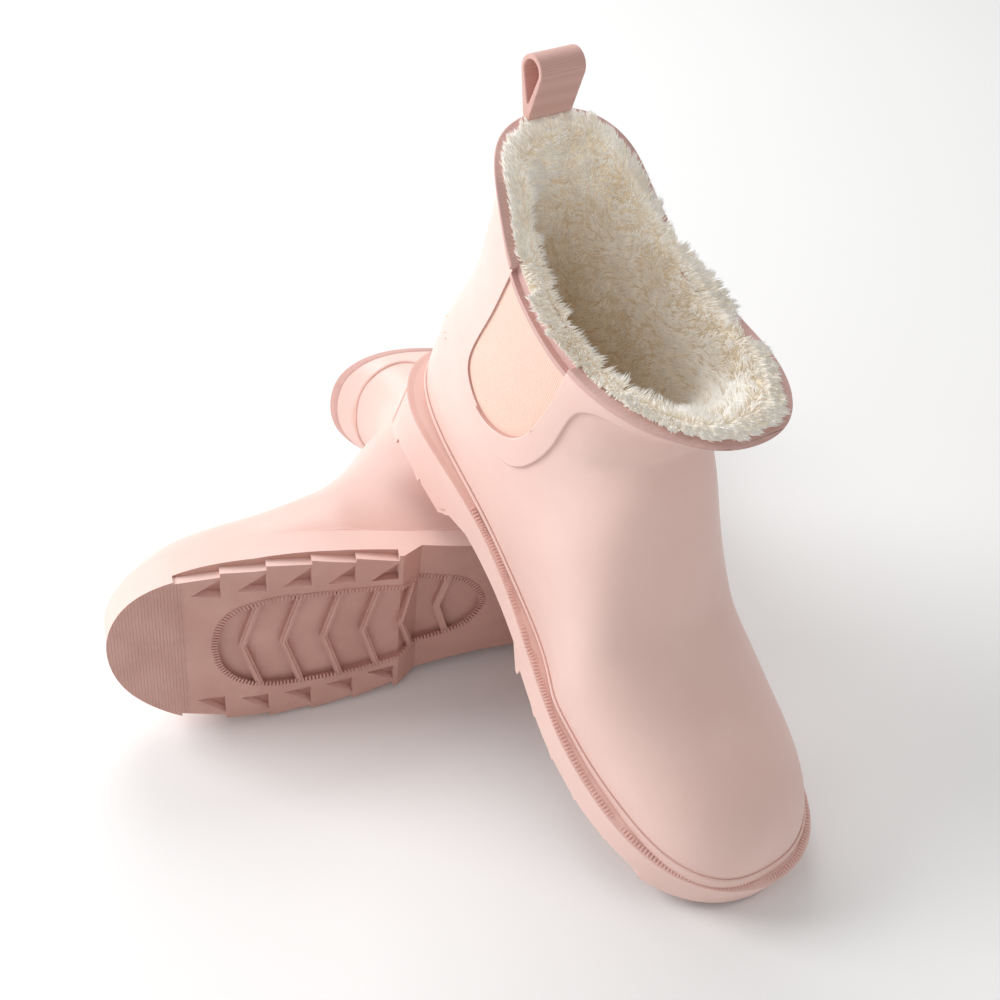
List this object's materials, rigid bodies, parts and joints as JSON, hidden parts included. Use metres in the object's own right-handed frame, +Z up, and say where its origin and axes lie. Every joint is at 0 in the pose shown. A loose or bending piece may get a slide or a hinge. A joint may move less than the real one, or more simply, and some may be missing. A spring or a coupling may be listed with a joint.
{
  "type": "lined rubber ankle boots with elastic gores",
  "caption": "Pair of plush-lined rubber ankle boots with elastic side gores, cleated soles and swinging pull loops; one boot lies on its side and the other leans over it.",
  "frame": {"origin": "on the ground under the middle of the pair's bounding box", "axes": "+Z up; +X to the right and +Y away, looking at the pair from the right boot's outer side"},
  "size_m": [0.3144, 0.3682, 0.3045],
  "materials": {
    "upper_rubber": "matt, smooth",
    "sole_rubber": "matt, moulded",
    "welt_rubber": "matt, knurled",
    "filler_foam": "open foam",
    "shank_steel": "plain",
    "board_fibre": "pressed fibre",
    "insole_foam": "fleece-faced foam",
    "gore_elastic": "fine ribbed elastic",
    "binding_tape": "folded tape",
    "fleece": "long pile",
    "strap_webbing": "woven strap",
    "stitch_thread": "thread"
  },
  "bodies": {
    "left_boot": {"left_outsole": "sole_rubber", "left_welt_strip": "welt_rubber", "left_foxing_strip": "upper_rubber", "left_heel_core": "filler_foam", "left_midsole_filler": "filler_foam", "left_shank": "shank_steel", "left_insole_board": "board_fibre", "left_insole": "insole_foam", "left_upper_shell": "upper_rubber", "left_toe_puff": "board_fibre", "left_heel_counter": "board_fibre", "left_collar_trim": "upper_rubber", "left_gore_lateral": "gore_elastic", "left_gore_medial": "gore_elastic", "left_gore_tape_lateral": "binding_tape", "left_gore_tape_medial": "binding_tape", "left_collar_binding_back": "binding_tape", "left_collar_binding_front": "binding_tape", "left_lining_sock": "fleece", "left_loop_anchor": "strap_webbing", "left_loop_bartack": "stitch_thread"},
    "right_boot": {"right_outsole": "sole_rubber", "right_welt_strip": "welt_rubber", "right_foxing_strip": "upper_rubber", "right_heel_core": "filler_foam", "right_midsole_filler": "filler_foam", "right_shank": "shank_steel", "right_insole_board": "board_fibre", "right_insole": "insole_foam", "right_upper_shell": "upper_rubber", "right_toe_puff": "board_fibre", "right_heel_counter": "board_fibre", "right_collar_trim": "upper_rubber", "right_gore_lateral": "gore_elastic", "right_gore_medial": "gore_elastic", "right_gore_tape_lateral": "binding_tape", "right_gore_tape_medial": "binding_tape", "right_collar_binding_back": "binding_tape", "right_collar_binding_front": "binding_tape", "right_lining_sock": "fleece", "right_loop_anchor": "strap_webbing", "right_loop_bartack": "stitch_thread"},
    "left_loop": {"left_pull_loop": "strap_webbing"},
    "right_loop": {"right_pull_loop": "strap_webbing"}
  },
  "joints": [
    {"name": "right_boot_lift", "type": "slide", "parent": "left_boot", "child": "right_boot", "axis": [0, 0, 1], "range_m": [0, 0.3]},
    {"name": "left_loop_swing", "type": "hinge", "parent": "left_boot", "child": "left_loop", "pos_m": [0.07862, 0.15943, 0.0326], "axis": [0.084, 0.0162, 0.9963], "range_deg": [-40, 40], "stiffness_Nm_per_rad": 0.02},
    {"name": "right_loop_swing", "type": "hinge", "parent": "right_boot", "child": "right_loop", "pos_m": [0.04181, -0.01285, 0.28062], "axis": [0.8199, 0.5692, -0.0615], "range_deg": [-40, 40], "stiffness_Nm_per_rad": 0.02}
  ]
}
